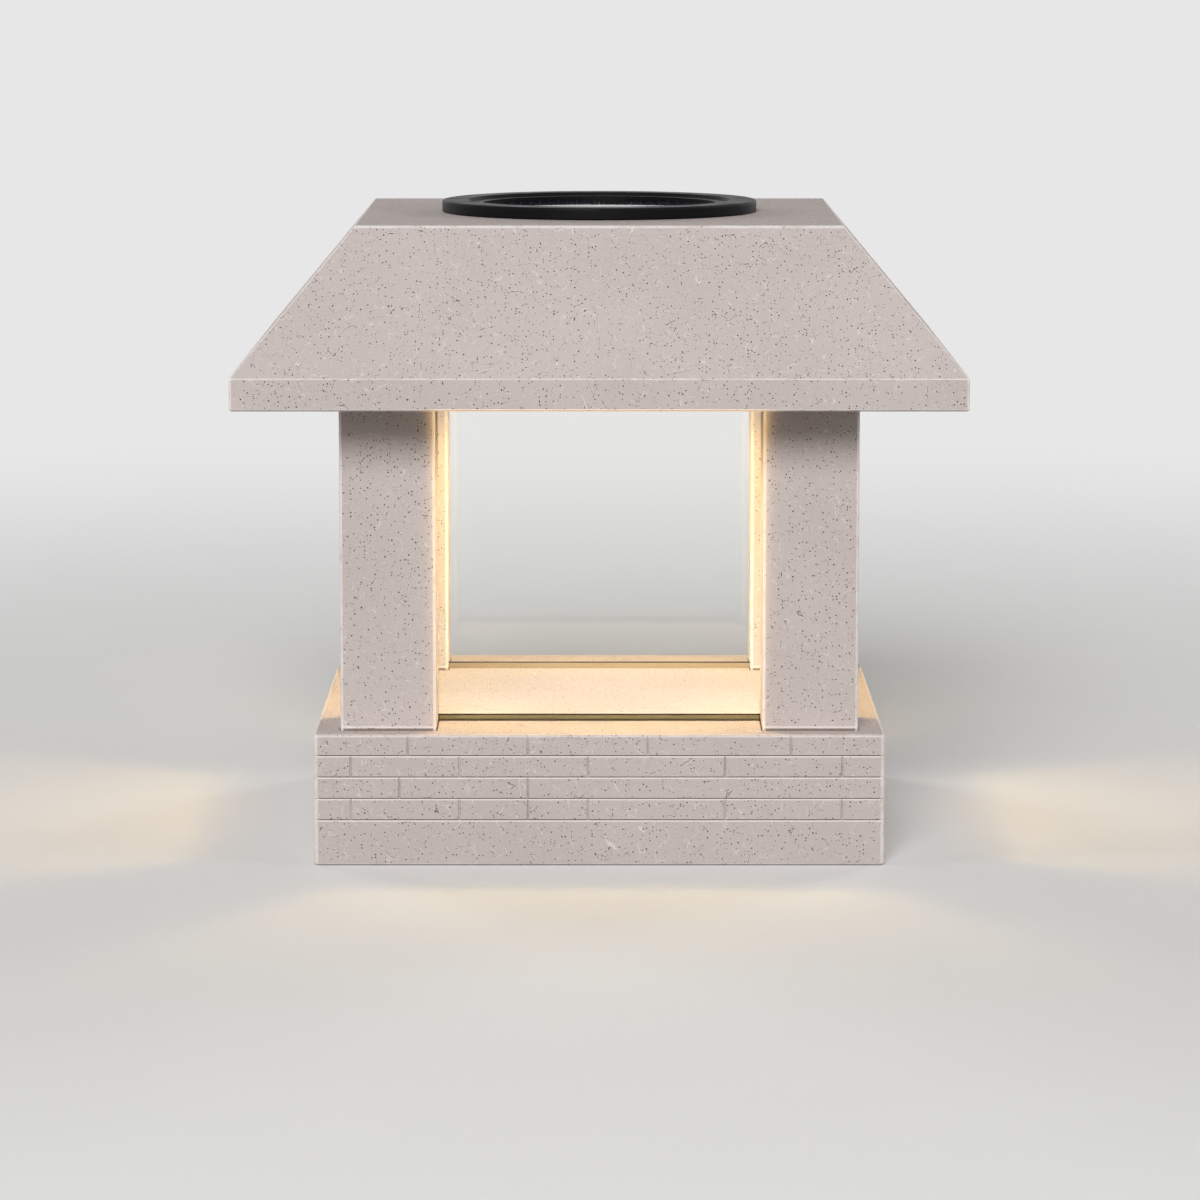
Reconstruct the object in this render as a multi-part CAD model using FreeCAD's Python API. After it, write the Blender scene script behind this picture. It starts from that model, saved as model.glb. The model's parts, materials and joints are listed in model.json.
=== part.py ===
import FreeCAD, Part
import math
import os

# Deck post cap light: a square lantern that slips over the top of a deck post. Millimetres, +Z up,
# the front faces -Y, and the origin is the centre of the skirt's bottom edge.

Vector = FreeCAD.Vector

# ---- Base: skirt over the post, and the deck on top of it ----
post_width = 114.3          # square sleeve of a composite deck post
post_clearance = 0.5        # between the post and each skirt wall
skirt_wall = 1.6
base_height = 27.5
deck_thickness = 5.0
base_corner_radius = 1.0
base_edge_radius = 0.6
course_count = 4            # rows of moulded brickwork
course_height = 4.5
joint_width = 0.5           # V-shaped mortar lines
joint_depth = 0.35
post_screw_radius = 2.1
post_gasket_thickness = 1.5
post_gasket_width = 6.0
post_gasket_gap = 0.3

# Places of the upright mortar lines, course by course from the top, as shares of half the width.
course_joints = [
    (-0.67, -0.25, 0.17, 0.67),
    (-0.87, -0.49, -0.04, 0.44, 0.85),
    (-0.70, -0.25),
    (-0.87, -0.49, -0.25, -0.04, 0.44, 0.85),
]

# ---- Columns ----
deck_ledge = 5.4            # from the base's edge to the columns' outer faces
column_width = 19.9
column_edge_radius = 0.7
column_wall = 2.0
column_rib = 1.4
column_post_radius = 3.0
lantern_height = 69.7       # from the deck to the ceiling
seat_depth = 0.8            # columns stand in shallow seats at both ends
seat_clearance = 0.15

# ---- Panes ----
glass_thickness = 3.0
pane_land = 3.3             # from a column's inner face to a pane's inner face
pane_engagement = 2.2       # how far a pane reaches into a column
groove_depth = 2.5
groove_clearance = 0.2
foot_strip_height = 1.2
head_strip_height = 0.7
ceiling_slot_depth = 1.5

# ---- Roof ----
roof_overhang = 15.75       # from the base's edge out to the fascia
roof_run = 24.6             # level distance from the fascia to the flat top
roof_rise = 29.6
fascia_height = 6.6
roof_wall = 2.4
roof_edge_radius = 0.6
ceiling_recess = 1.0        # from the fascia's lower edge up to the ceiling
ceiling_thickness = 2.5
ceiling_clearance = 0.3
collar_wall = 2.0
collar_depth = 5.0
roof_boss_radius = 3.8
roof_boss_inset = 10.6      # from the inside of the fascia to a boss's centre
boss_pad_height = 2.0       # thickened places on the ceiling for the roof screws' heads
boss_pad_radius = 5.0

# ---- Screws ----
screw_radius = 1.45
screw_clearance = 0.05      # between a screw and the hole that it bites in
screw_hole_clearance = 0.25
screw_head_radius = 2.8
screw_head_height = 2.0
screw_bite = 10.0
pilot_extra = 1.3
head_clearance = 0.25
head_rounding = 0.35        # share of a screw head's height that its edge is rounded by
recess_width = 0.7          # cross recess in a screw's head
recess_span = 0.6           # its length as a share of the head's width
recess_depth = 0.9

# ---- Solar module: rim, can and panel ----
module_bore_radius = 30.0   # hole in the roof and in the ceiling
rim_overlap = 3.85          # how far the rim reaches past that hole
module_gap = 0.5
can_wall = 1.7
can_deck = 1.5
flange_thickness = 0.8
rim_thickness = 0.9
rim_skirt = 0.8
rim_lift = 0.3              # shadow gap between the rim and the roof
rim_edge_radius = 0.5
rim_bevel = 0.4
rim_fit = 0.1
lip_step = 0.7
lip_thickness = 0.7
lip_width = 2.8             # from the can's inside to the lip's edge over the glass
module_seal_thickness = 0.9
module_seal_inset = 0.4
panel_clearance = 0.3
panel_glass_thickness = 1.1
cell_thickness = 0.4
cell_gap = 0.5
cell_margin = 0.8
backing_thickness = 1.0
module_rise = 1.0           # from the ceiling up to the module's underside

# ---- Solar module: cover, lamp and battery ----
cover_thickness = 2.4
cover_seal_thickness = 0.8
cover_seal_inset = 0.2
cover_boss_radius = 3.2
cover_boss_merge = 0.8      # how far a boss runs into the can's wall
cover_head_height = 1.4
lens_radius = 12.8
lens_clearance = 0.3
lens_flange = 1.7
lens_flange_thickness = 1.0
lens_wall = 1.2
lens_dome = 1.6
reflector_height = 2.8
reflector_top_radius = 9.0
lamp_board_radius = 15.0
lamp_board_thickness = 1.2
lamp_ear_width = 8.0
lamp_ear_radius = 1.5
lamp_boss_radius = 2.6
lamp_boss_gap = 0.4
small_screw_radius = 0.9
small_head_radius = 1.8
small_head_height = 1.4
small_screw_length = 4.2
led_size = 3.0
led_height = 0.8
led_chamfer = 0.25
led_spacing = 7.0
battery_radius = 7.1        # 14430 lithium iron phosphate cell, whose length follows from the can
battery_edge_radius = 0.5
battery_button_radius = 2.7
battery_button_length = 1.0
cell_end_space = 4.0        # from the can's inside to the face of each end wall
cradle_gap = 0.15
cradle_wall = 1.6
cradle_plate = 1.2
cradle_offset = 12.0
contact_thickness = 0.4
contact_width = 12.0
spring_length = 3.8
spring_thickness = 0.35
spring_width = 8.0
spring_rise = 5.0
spring_gap = 0.1

# ---- Solar module: control board ----
board_width = 34.0
board_height = 16.0
board_thickness = 1.2
board_offset = 9.8          # from the battery's axis to the board
board_slot_clearance = 0.1
board_slot_depth = 2.0
board_post_wall = 1.4
capacitor_radius = 2.5
capacitor_length = 7.0
inductor_radius = 3.0
inductor_length = 3.0
chip_width = 5.0
chip_height = 4.0
chip_thickness = 1.5
capacitor_x = 8.5
inductor_x = -8.5
board_margin = 1.5
resistor_count = 4
resistor_pitch = 3.5
resistor_length = 2.0
resistor_thickness = 0.6
lead_radius = 0.6
lead_standoff = 7.0         # from the board's face to the solar leads
solar_lead_x = 3.0
lead_passage_radius = 1.2
lamp_pin_x = 5.0
lamp_pin_width = 0.64
switch_lead_y = -11.2
bend_share = 0.45           # of a lead's shorter run that each bend takes up

# ---- Slide switch ----
switch_offset = 20.0        # from the module's axis
switch_length = 12.0
switch_width = 6.0
switch_height = 5.0
switch_wall = 0.6
slider_base_length = 6.0
slider_base_height = 1.4
slider_travel = 4.0
slider_stem_length = 3.4
slider_stem_width = 2.8
slider_stand_out = 2.0
slider_clearance = 0.2
slider_edge_radius = 0.2
slider_notch = 0.4
slider_notch_pitch = 0.85
switch_edge_radius = 0.3

# ---- Sizes and heights that follow ----
socket_half = post_width / 2 + post_clearance
base_half = socket_half + skirt_wall
column_outer = base_half - deck_ledge
column_inner = column_outer - column_width
pane_inner = column_inner + pane_land
pane_outer = pane_inner + glass_thickness
groove_inner = pane_inner - groove_clearance
groove_outer = pane_outer + groove_clearance

z_deck = base_height
z_socket = base_height - deck_thickness
z_ceiling = z_deck + lantern_height
z_ceiling_top = z_ceiling + ceiling_thickness
z_foot = z_deck - seat_depth
z_head = z_ceiling + seat_depth
z_glass_low = z_deck + foot_strip_height
z_slot = z_ceiling + ceiling_slot_depth
z_glass_high = z_slot - head_strip_height
z_lower_seat = z_socket + screw_head_height + head_clearance
z_roof_seat = z_ceiling + screw_head_height
z_boss_pad = z_ceiling_top + boss_pad_height
z_eave = z_ceiling - ceiling_recess
z_fascia = z_eave + fascia_height
z_roof = z_fascia + roof_rise

cavity_near = column_outer - column_wall
cavity_far = groove_outer + column_wall
column_axis = (cavity_near + cavity_far) / 2

roof_half = base_half + roof_overhang
roof_slope = roof_run / roof_rise
roof_shift = roof_wall * math.hypot(roof_run, roof_rise) / roof_rise
fascia_inner = roof_half - roof_wall
roof_boss_axis = fascia_inner - roof_boss_inset

rim_radius = module_bore_radius + rim_overlap
can_radius = module_bore_radius - module_gap
can_inner = can_radius - can_wall
flange_radius = rim_radius - rim_skirt - rim_fit
lip_inner_radius = can_inner - lip_width
panel_radius = can_inner - panel_clearance
z_flange = z_roof + module_seal_thickness
z_flange_top = z_flange + flange_thickness
z_rim = z_flange_top + rim_thickness
z_lip_top = z_rim - lip_step
z_panel_top = z_lip_top - lip_thickness
z_cells_top = z_panel_top - panel_glass_thickness
z_backing_top = z_cells_top - cell_thickness
z_can_deck = z_backing_top - backing_thickness
z_can_under = z_can_deck - can_deck

z_module = z_ceiling + module_rise
z_cover_top = z_module + cover_thickness
z_can_end = z_cover_top + cover_seal_thickness
z_lens_flange = z_cover_top + lens_flange_thickness
z_lamp_board = z_lens_flange + reflector_height
z_lamp_board_top = z_lamp_board + lamp_board_thickness
z_battery = (z_lamp_board_top + z_can_under) / 2

cover_boss_axis = (can_inner - cover_boss_radius + cover_boss_merge) / math.sqrt(2)
lamp_boss_axis = lamp_board_radius + lamp_boss_gap + lamp_boss_radius
z_cover_seat = z_module + cover_head_height
z_board_low = z_battery - board_height / 2
z_board_top = z_battery + board_height / 2
board_face = board_offset + board_thickness
board_stop_x = board_width / 2 - board_post_wall
lead_y = board_face + lead_standoff
contact_wall_face = can_inner - cell_end_space
spring_wall_face = -contact_wall_face
battery_positive = contact_wall_face - contact_thickness
battery_negative = spring_wall_face + contact_thickness + spring_length
battery_length = battery_positive - battery_button_length - battery_negative
z_switch_top = z_cover_top + switch_height
z_slider_base = z_cover_top + switch_wall + slider_clearance
over = 1.0                  # how far a cut runs past the faces that it opens
hair = 1e-6                 # two places closer than this are the same

# Corner names and the quarter turns that bring the front left corner there.
corners = [("front_left", 0), ("front_right", 90), ("back_right", 180), ("back_left", 270)]
sides = [("front", 0), ("right", 90), ("back", 180), ("left", 270)]


# ---- Shape helpers ----
def box(x0, x1, y0, y1, z0, z1):
    return Part.makeBox(x1 - x0, y1 - y0, z1 - z0, Vector(x0, y0, z0))


def square(half, z0, z1):
    return box(-half, half, -half, half, z0, z1)


def disc(radius, z0, z1, x=0.0, y=0.0):
    return Part.makeCylinder(radius, z1 - z0, Vector(x, y, z0))


def ring(outer, inner, z0, z1, x=0.0, y=0.0):
    return disc(outer, z0, z1, x, y).cut(disc(inner, z0, z1, x, y))


def lathe(profile):
    points = [Vector(r, 0, z) for r, z in profile]
    face = Part.Face(Part.makePolygon(points + points[:1]))
    return face.revolve(Vector(0, 0, 0), Vector(0, 0, 1), 360)


def frustum(half_low, half_high, z_low, z_high):
    wires = []
    for half, z in ((half_low, z_low), (half_high, z_high)):
        points = [Vector(x * half, y * half, z) for x, y in ((-1, -1), (1, -1), (1, 1), (-1, 1))]
        wires.append(Part.makePolygon(points + points[:1]))
    return Part.makeLoft(wires, True, True)


def turned(shape, angle):
    copy = shape.copy()
    copy.rotate(Vector(0, 0, 0), Vector(0, 0, 1), angle)
    return copy


def four_corners(shape):
    return [turned(shape, angle) for name, angle in corners]


def upright_edges(shape):
    return [e for e in shape.Edges if e.BoundBox.ZLength > hair > e.BoundBox.XLength + e.BoundBox.YLength]


def level_edges(shape, z):
    return [e for e in shape.Edges if max(abs(e.BoundBox.ZMin - z), abs(e.BoundBox.ZMax - z)) < hair]


def rounded_bar(x0, x1, y0, y1, z0, z1, radius):
    bar = box(x0, x1, y0, y1, z0, z1)
    return bar.makeFillet(radius, upright_edges(bar))


def screw(x, y, z_seat, length, radius, head_radius, head_height, up):
    """A pan-head screw. Its head's underside is at z_seat and its point goes up, or down."""
    tip = z_seat + length if up else z_seat - length
    crown = z_seat - head_height if up else z_seat + head_height
    shank = disc(radius, min(z_seat, tip), max(z_seat, tip), x, y)
    head = disc(head_radius, min(z_seat, crown), max(z_seat, crown), x, y)
    head = head.makeFillet(head_height * head_rounding, level_edges(head, crown))
    floor = crown + recess_depth if up else crown - recess_depth
    low, high = min(crown, floor), max(crown, floor)
    long_half = head_radius * recess_span
    short_half = recess_width / 2
    slots = [
        box(x - long_half, x + long_half, y - short_half, y + short_half, low, high),
        box(x - short_half, x + short_half, y - long_half, y + long_half, low, high),
    ]
    return head.fuse(shank).cut(slots)


def wire_lead(points):
    """A round lead along straight runs joined by tangent arcs."""
    corners_left = [Vector(*p) for p in points]
    edges = []
    start = corners_left[0]
    for before, here, after in zip(corners_left, corners_left[1:], corners_left[2:]):
        into, out = (here - before).normalize(), (after - here).normalize()
        half_turn = into.getAngle(out) / 2
        setback = bend_share * min((here - before).Length, (after - here).Length)
        radius = setback / math.tan(half_turn)
        arc_start, arc_end = here - into * setback, here + out * setback
        inward = (out - into).normalize()
        middle = here + inward * (radius / math.cos(half_turn) - radius)
        edges.append(Part.LineSegment(start, arc_start).toShape())
        edges.append(Part.Arc(arc_start, middle, arc_end).toShape())
        start = arc_end
    edges.append(Part.LineSegment(start, corners_left[-1]).toShape())
    path = Part.Wire(edges)
    direction = corners_left[1] - corners_left[0]
    section = Part.Wire([Part.makeCircle(lead_radius, corners_left[0], direction)])
    return path.makePipeShell([section], True, False)


def save(node, *shapes):
    shape = shapes[0] if len(shapes) == 1 else Part.makeCompound(list(shapes))
    shape.exportStep(os.path.join("parts", node + ".step"))
    solids = shape.Solids
    volume = sum(s.Volume for s in solids)
    print(f"{node:24s} solids {len(solids):2d}  volume {volume:10.1f}  valid {shape.isValid()}")


# ---- Base ----
def front_joint(z, height, x0, x1):
    """A V-shaped mortar line in the front face: level if height is None, else upright at x0."""
    face, root = -base_half - joint_depth, -base_half + joint_depth
    half = joint_width
    if height is None:
        points = [Vector(x0, face, z - half), Vector(x0, face, z + half), Vector(x0, root, z)]
        run = Vector(x1 - x0, 0, 0)
    else:
        points = [Vector(x0 - half, face, z), Vector(x0 + half, face, z), Vector(x0, root, z)]
        run = Vector(0, 0, height)
    return Part.Face(Part.makePolygon(points + points[:1])).extrude(run)


def brick_joints():
    lines = []
    reach = base_half + over
    for course in range(course_count):
        z = z_deck - (course + 1) * course_height
        lines.append(front_joint(z, None, -reach, reach))
        for share in course_joints[course]:
            lines.append(front_joint(z, course_height, share * base_half, None))
    return [turned(line, angle) for line in lines for name, angle in sides]


def base_shell():
    body = square(base_half, 0, base_height)
    body = body.makeFillet(base_corner_radius, upright_edges(body))
    body = body.makeFillet(base_edge_radius, level_edges(body, 0) + level_edges(body, base_height))
    cuts = [square(socket_half, -over, z_socket)]
    seat = column_bar(z_foot, z_deck + over, seat_clearance)
    screw_hole = disc(screw_radius + screw_hole_clearance, 0, base_height, -column_axis, -column_axis)
    head_room = disc(screw_head_radius + head_clearance, 0, z_lower_seat, -column_axis, -column_axis)
    for cut in (seat, screw_hole, head_room):
        cuts += four_corners(cut)
    band_middle = (base_height - course_count * course_height) / 2
    reach = base_half + over
    side_start = Vector(-reach, 0, band_middle)
    side_hole = Part.makeCylinder(post_screw_radius, 2 * reach, side_start, Vector(1, 0, 0))
    return body.cut(cuts + [side_hole]).cut(brick_joints())


def post_gasket():
    outer = socket_half - post_gasket_gap
    bottom = z_socket - post_gasket_thickness
    return square(outer, bottom, z_socket).cut(square(outer - post_gasket_width, bottom, z_socket))


# ---- Columns ----
def column_bar(z0, z1, growth=0.0):
    low, high = -column_outer - growth, -column_inner + growth
    return rounded_bar(low, high, low, high, z0, z1, column_edge_radius + growth)


def column():
    """The front left column: a cored bar with a screw post in its core and two pane grooves."""
    bar = column_bar(z_foot, z_head)
    core = box(-cavity_near, -cavity_far, -cavity_near, -cavity_far, z_foot, z_head)
    half_rib = column_rib / 2
    ribs = [
        box(-cavity_near, -cavity_far, -column_axis - half_rib, -column_axis + half_rib, z_foot, z_head),
        box(-column_axis - half_rib, -column_axis + half_rib, -cavity_near, -cavity_far, z_foot, z_head),
    ]
    post = disc(column_post_radius, z_foot, z_head, -column_axis, -column_axis)
    core = core.cut(ribs + [post])
    reach = column_inner + groove_depth
    groove = box(-reach, -column_inner + over, -groove_outer, -groove_inner, z_foot, z_head)
    side_groove = box(-groove_outer, -groove_inner, -reach, -column_inner + over, z_foot, z_head)
    depth = screw_bite + pilot_extra
    pilot_radius = screw_radius + screw_clearance
    pilots = [
        disc(pilot_radius, z_foot, z_foot + depth, -column_axis, -column_axis),
        disc(pilot_radius, z_head - depth, z_head, -column_axis, -column_axis),
    ]
    return bar.cut([core, groove, side_groove] + pilots)


# ---- Panes and their strips ----
def front_slab(z0, z1):
    """A slab in the front window, as wide as a pane."""
    half = column_inner + pane_engagement
    return box(-half, half, -pane_outer, -pane_inner, z0, z1)


# ---- Roof and ceiling ----
def roof_body(shift, z_low, z_high, fascia):
    """The roof's outline moved inwards by shift on its slopes, down to z_low, with the fascia below."""
    def slope_half(z):
        return roof_half - shift - (z - z_fascia) * roof_slope
    z_break = z_fascia - (fascia - (roof_half - shift)) / roof_slope
    cap = frustum(fascia, slope_half(z_high), z_break, z_high)
    return square(fascia, z_low, z_break).fuse(cap).removeSplitter()


def roof_shell():
    outside = roof_body(0.0, z_eave, z_roof, roof_half)
    shell = outside.makeFillet(roof_edge_radius, outside.Edges)
    z_inside_top = z_roof - roof_wall
    inside = roof_body(roof_shift, z_eave - over, z_inside_top, fascia_inner)
    shell = shell.cut(inside)
    boss = disc(roof_boss_radius, z_boss_pad, z_roof, -roof_boss_axis, -roof_boss_axis)
    room = roof_body(roof_shift / 2, z_eave, z_roof - roof_wall / 2, fascia_inner)
    collar = disc(module_bore_radius + collar_wall, z_inside_top - collar_depth, z_inside_top)
    shell = shell.fuse([corner.common(room) for corner in four_corners(boss)] + [collar])
    z_pilot = z_roof_seat + screw_bite + pilot_extra
    pilot = disc(screw_radius + screw_clearance, z_boss_pad, z_pilot, -roof_boss_axis, -roof_boss_axis)
    bore = disc(module_bore_radius, z_eave, z_roof + over)
    return shell.cut(four_corners(pilot) + [bore])


def ceiling_plate():
    half = fascia_inner - ceiling_clearance
    plate = square(half, z_ceiling, z_ceiling_top)
    plate = plate.makeFillet(roof_edge_radius, upright_edges(plate))
    pad = disc(boss_pad_radius, z_ceiling_top, z_boss_pad, -roof_boss_axis, -roof_boss_axis)
    collar = disc(module_bore_radius + collar_wall, z_ceiling_top, z_ceiling_top + collar_depth)
    plate = plate.fuse(four_corners(pad) + [collar])
    hole = screw_radius + screw_hole_clearance
    head_radius = screw_head_radius + head_clearance
    head_room = disc(head_radius, z_ceiling, z_roof_seat, -roof_boss_axis, -roof_boss_axis)
    corner_cuts = [
        column_bar(z_ceiling - over, z_head, seat_clearance),
        disc(hole, z_ceiling, z_ceiling_top, -column_axis, -column_axis),
        disc(hole, z_ceiling, z_boss_pad, -roof_boss_axis, -roof_boss_axis),
        head_room,
    ]
    cuts = [disc(module_bore_radius, z_ceiling - over, z_ceiling_top + collar_depth)]
    for cut in corner_cuts:
        cuts += four_corners(cut)
    slot_half = column_inner + groove_depth
    slot = box(-slot_half, slot_half, -groove_outer, -groove_inner, z_ceiling - over, z_slot)
    cuts += [turned(slot, angle) for name, angle in sides]
    return plate.cut(cuts)


# ---- Solar module ----
def module_rim():
    land_inner = can_inner + rim_fit
    plug = can_inner - rim_fit
    skirt_inner = flange_radius + rim_fit
    rim = lathe([
        (lip_inner_radius, z_panel_top), (plug, z_panel_top), (plug, z_flange_top),
        (skirt_inner, z_flange_top), (skirt_inner, z_roof + rim_lift), (rim_radius, z_roof + rim_lift),
        (rim_radius, z_rim), (land_inner + rim_bevel, z_rim), (land_inner, z_lip_top),
        (lip_inner_radius, z_lip_top),
    ])
    outer_edges = [e for e in level_edges(rim, z_rim) if e.BoundBox.XLength > 2 * rim_radius - over]
    return rim.makeFillet(rim_edge_radius, outer_edges)


def module_can():
    can = lathe([
        (0, z_can_under), (can_inner, z_can_under), (can_inner, z_can_end), (can_radius, z_can_end),
        (can_radius, z_flange), (flange_radius, z_flange), (flange_radius, z_flange_top),
        (can_inner, z_flange_top), (can_inner, z_can_deck), (0, z_can_deck),
    ])
    room = disc(can_radius - can_wall / 2, z_can_end, z_can_deck)
    boss = disc(cover_boss_radius, z_can_end, z_can_under, -cover_boss_axis, -cover_boss_axis)
    solids = [can] + four_corners(boss.common(room))
    pilot_top = z_can_end + screw_bite + pilot_extra
    pilot = disc(screw_radius + screw_clearance, z_can_end, pilot_top, -cover_boss_axis, -cover_boss_axis)
    passages = [disc(lead_passage_radius, z_can_under, z_can_deck, x, lead_y)
                for x in (-solar_lead_x, solar_lead_x)]
    body = solids[0].fuse(solids[1:]).removeSplitter()
    return body.cut(four_corners(pilot) + passages)


def battery_cradle():
    """A plate under the can's deck, with two saddle ribs above the cell, an end wall at each end of
    it, and the control board's two slotted posts."""
    half_width = battery_radius + cradle_wall
    room = disc(can_inner - cradle_gap, z_cover_top, z_can_under)
    z_low = z_battery - battery_radius / 2
    grip = battery_radius + cradle_gap
    cell_end = Vector(battery_negative, 0, z_battery)
    hollow = Part.makeCylinder(grip, battery_length, cell_end, Vector(1, 0, 0))
    opening = box(battery_negative, battery_positive, -grip, grip, z_low - over, z_battery)
    ribs = []
    for x in (-cradle_offset, cradle_offset):
        rib = box(x - cradle_wall / 2, x + cradle_wall / 2, -half_width, half_width, z_low, z_can_under)
        ribs.append(rib.cut([hollow, opening]))
    half = contact_width / 2
    z_wall = z_battery - half
    for face, away in ((spring_wall_face, -1), (contact_wall_face, 1)):
        x0, x1 = sorted((face, face + away * cradle_wall))
        ribs.append(box(x0, x1, -half, half, z_wall, z_can_under))
    reach = contact_wall_face + cradle_wall
    plate = box(-reach, reach, -half_width, board_face + board_post_wall,
                z_can_under - cradle_plate, z_can_under)
    return plate.fuse(ribs + board_posts()).common(room).removeSplitter()


def board_posts():
    """Two slotted posts that hold the control board's ends."""
    posts = []
    gap = board_slot_clearance
    for side in (-1, 1):
        end = side * board_width / 2
        x0, x1 = sorted((end - side * board_slot_depth, end + side * board_post_wall))
        post = box(x0, x1, board_offset - board_post_wall, board_face + board_post_wall,
                   z_battery, z_can_under)
        s0, s1 = sorted((end - side * (board_slot_depth + over), end + side * gap))
        slot = box(s0, s1, board_offset - gap, board_face + gap, z_battery - over, z_board_top)
        posts.append(post.cut(slot))
    return posts


def module_cover():
    plate = disc(can_radius, z_module, z_cover_top)
    plate = plate.makeFillet(rim_edge_radius, level_edges(plate, z_module))
    bosses = [disc(lamp_boss_radius, z_cover_top, z_lamp_board, side * lamp_boss_axis, 0) for side in (-1, 1)]
    stops = []
    for x in (-board_stop_x, board_stop_x):
        stops.append(box(x - board_post_wall, x + board_post_wall, board_offset, board_face,
                         z_cover_top, z_board_low))
    body = plate.fuse(bosses + stops)
    cuts = [disc(lens_radius + lens_clearance, z_module, z_cover_top)]
    pilot = small_screw_radius + screw_clearance
    z_pilot = z_module + cover_thickness / 2
    cuts += [disc(pilot, z_pilot, z_lamp_board, side * lamp_boss_axis, 0) for side in (-1, 1)]
    hole_radius = screw_radius + screw_hole_clearance
    head_radius = screw_head_radius + head_clearance
    hole = disc(hole_radius, z_module, z_cover_top, -cover_boss_axis, -cover_boss_axis)
    head_room = disc(head_radius, z_module, z_cover_seat, -cover_boss_axis, -cover_boss_axis)
    cuts += four_corners(hole) + four_corners(head_room)
    cuts.append(slider_window(z_module, z_cover_top))
    return body.cut(cuts)


def cover_seal():
    return ring(can_radius - cover_seal_inset, can_inner + cover_seal_inset, z_cover_top, z_can_end)


def module_seal():
    inner = module_bore_radius + module_seal_inset
    return ring(flange_radius - module_seal_inset, inner, z_roof, z_flange)


def solar_cells():
    whole = disc(panel_radius - cell_margin, z_backing_top, z_cells_top)
    half_gap = cell_gap / 2
    left = whole.common(box(-panel_radius, -half_gap, -panel_radius, panel_radius, z_backing_top, z_cells_top))
    right = whole.common(box(half_gap, panel_radius, -panel_radius, panel_radius, z_backing_top, z_cells_top))
    return [left, right]


def lamp_lens():
    """A frosted lens: a flange on the cover, a plug in its hole and a low dome below it."""
    flange = disc(lens_radius + lens_flange, z_cover_top, z_lens_flange)
    plug = disc(lens_radius, z_module, z_cover_top)
    sphere_radius = (lens_radius ** 2 + lens_dome ** 2) / (2 * lens_dome)
    dome = Part.makeSphere(sphere_radius, Vector(0, 0, z_module - lens_dome + sphere_radius))
    dome = dome.common(disc(lens_radius, z_module - lens_dome - over, z_module))
    hollow = disc(lens_radius - lens_wall, z_module + lens_wall, z_lens_flange)
    return flange.fuse([plug, dome]).cut(hollow)


def lamp_reflector():
    outer = lens_radius + lens_flange
    low = lens_radius - lens_wall
    return lathe([
        (low, z_lens_flange), (outer, z_lens_flange), (outer, z_lamp_board),
        (reflector_top_radius, z_lamp_board),
    ])


def lamp_board():
    reach = lamp_boss_axis + lamp_boss_radius
    half = lamp_ear_width / 2
    ears = rounded_bar(-reach, reach, -half, half, z_lamp_board, z_lamp_board_top, lamp_ear_radius)
    board = disc(lamp_board_radius, z_lamp_board, z_lamp_board_top).fuse(ears)
    hole = small_screw_radius + screw_clearance
    return board.cut([disc(hole, z_lamp_board, z_lamp_board_top, side * lamp_boss_axis, 0)
                      for side in (-1, 1)])


def leds():
    chips = []
    half = led_size / 2
    for x in (-led_spacing / 2, led_spacing / 2):
        for y in (-led_spacing / 2, led_spacing / 2):
            chip = box(x - half, x + half, y - half, y + half, z_lamp_board - led_height, z_lamp_board)
            chips.append(chip.makeChamfer(led_chamfer, level_edges(chip, z_lamp_board - led_height)))
    return chips


def battery():
    along = Vector(1, 0, 0)
    body = Part.makeCylinder(battery_radius, battery_length, Vector(battery_negative, 0, z_battery), along)
    rims = [e for e in body.Edges if e.BoundBox.XLength < hair]
    body = body.makeFillet(battery_edge_radius, rims)
    face = battery_negative + battery_length
    button = Part.makeCylinder(battery_button_radius, battery_button_length, Vector(face, 0, z_battery), along)
    return body.fuse(button)


def contact_plates():
    half = contact_width / 2
    plates = []
    for face, away in ((spring_wall_face, 1), (contact_wall_face, -1)):
        x0, x1 = sorted((face, face + away * contact_thickness))
        plates.append(box(x0, x1, -half, half, z_battery - half, z_battery + half))
    return plates


def battery_spring():
    """A bowed leaf that stands on the negative plate and presses on the cell's end."""
    foot = spring_wall_face + contact_thickness
    bow = battery_negative - spring_gap - foot
    radius = (spring_rise ** 2 + bow ** 2) / (2 * bow)
    centre = Vector(foot + bow - radius, -spring_width / 2, z_battery)
    outer = Part.makeCylinder(radius, spring_width, centre, Vector(0, 1, 0))
    inner = Part.makeCylinder(radius - spring_thickness, spring_width, centre, Vector(0, 1, 0))
    half = spring_width / 2
    keep = box(foot, battery_negative, -half, half, z_battery - 2 * radius, z_battery + 2 * radius)
    return outer.cut(inner).common(keep)


def board_parts():
    """A capacitor, an inductor, a chip and a row of small resistors on the board's outer face."""
    outward = Vector(0, 1, 0)
    capacitor_foot = Vector(capacitor_x, board_face, z_battery)
    inductor_foot = Vector(inductor_x, board_face, z_battery)
    capacitor = Part.makeCylinder(capacitor_radius, capacitor_length, capacitor_foot, outward)
    inductor = Part.makeCylinder(inductor_radius, inductor_length, inductor_foot, outward)
    z_chip = z_board_low + board_margin
    chip = box(-chip_width / 2, chip_width / 2, board_face, board_face + chip_thickness,
               z_chip, z_chip + chip_height)
    parts = [capacitor, inductor, chip]
    z_row = z_board_top - board_margin
    for index in range(resistor_count):
        x = (index - (resistor_count - 1) / 2) * resistor_pitch
        parts.append(box(x - resistor_length / 2, x + resistor_length / 2, board_face,
                         board_face + resistor_thickness, z_row - resistor_thickness * 2, z_row))
    return parts


def solar_leads():
    z_end = z_board_top - board_margin * 2 - lead_radius * 2
    return [wire_lead([(x, lead_y, z_can_deck), (x, lead_y, z_end), (x, board_face, z_end)])
            for x in (-solar_lead_x, solar_lead_x)]


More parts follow.
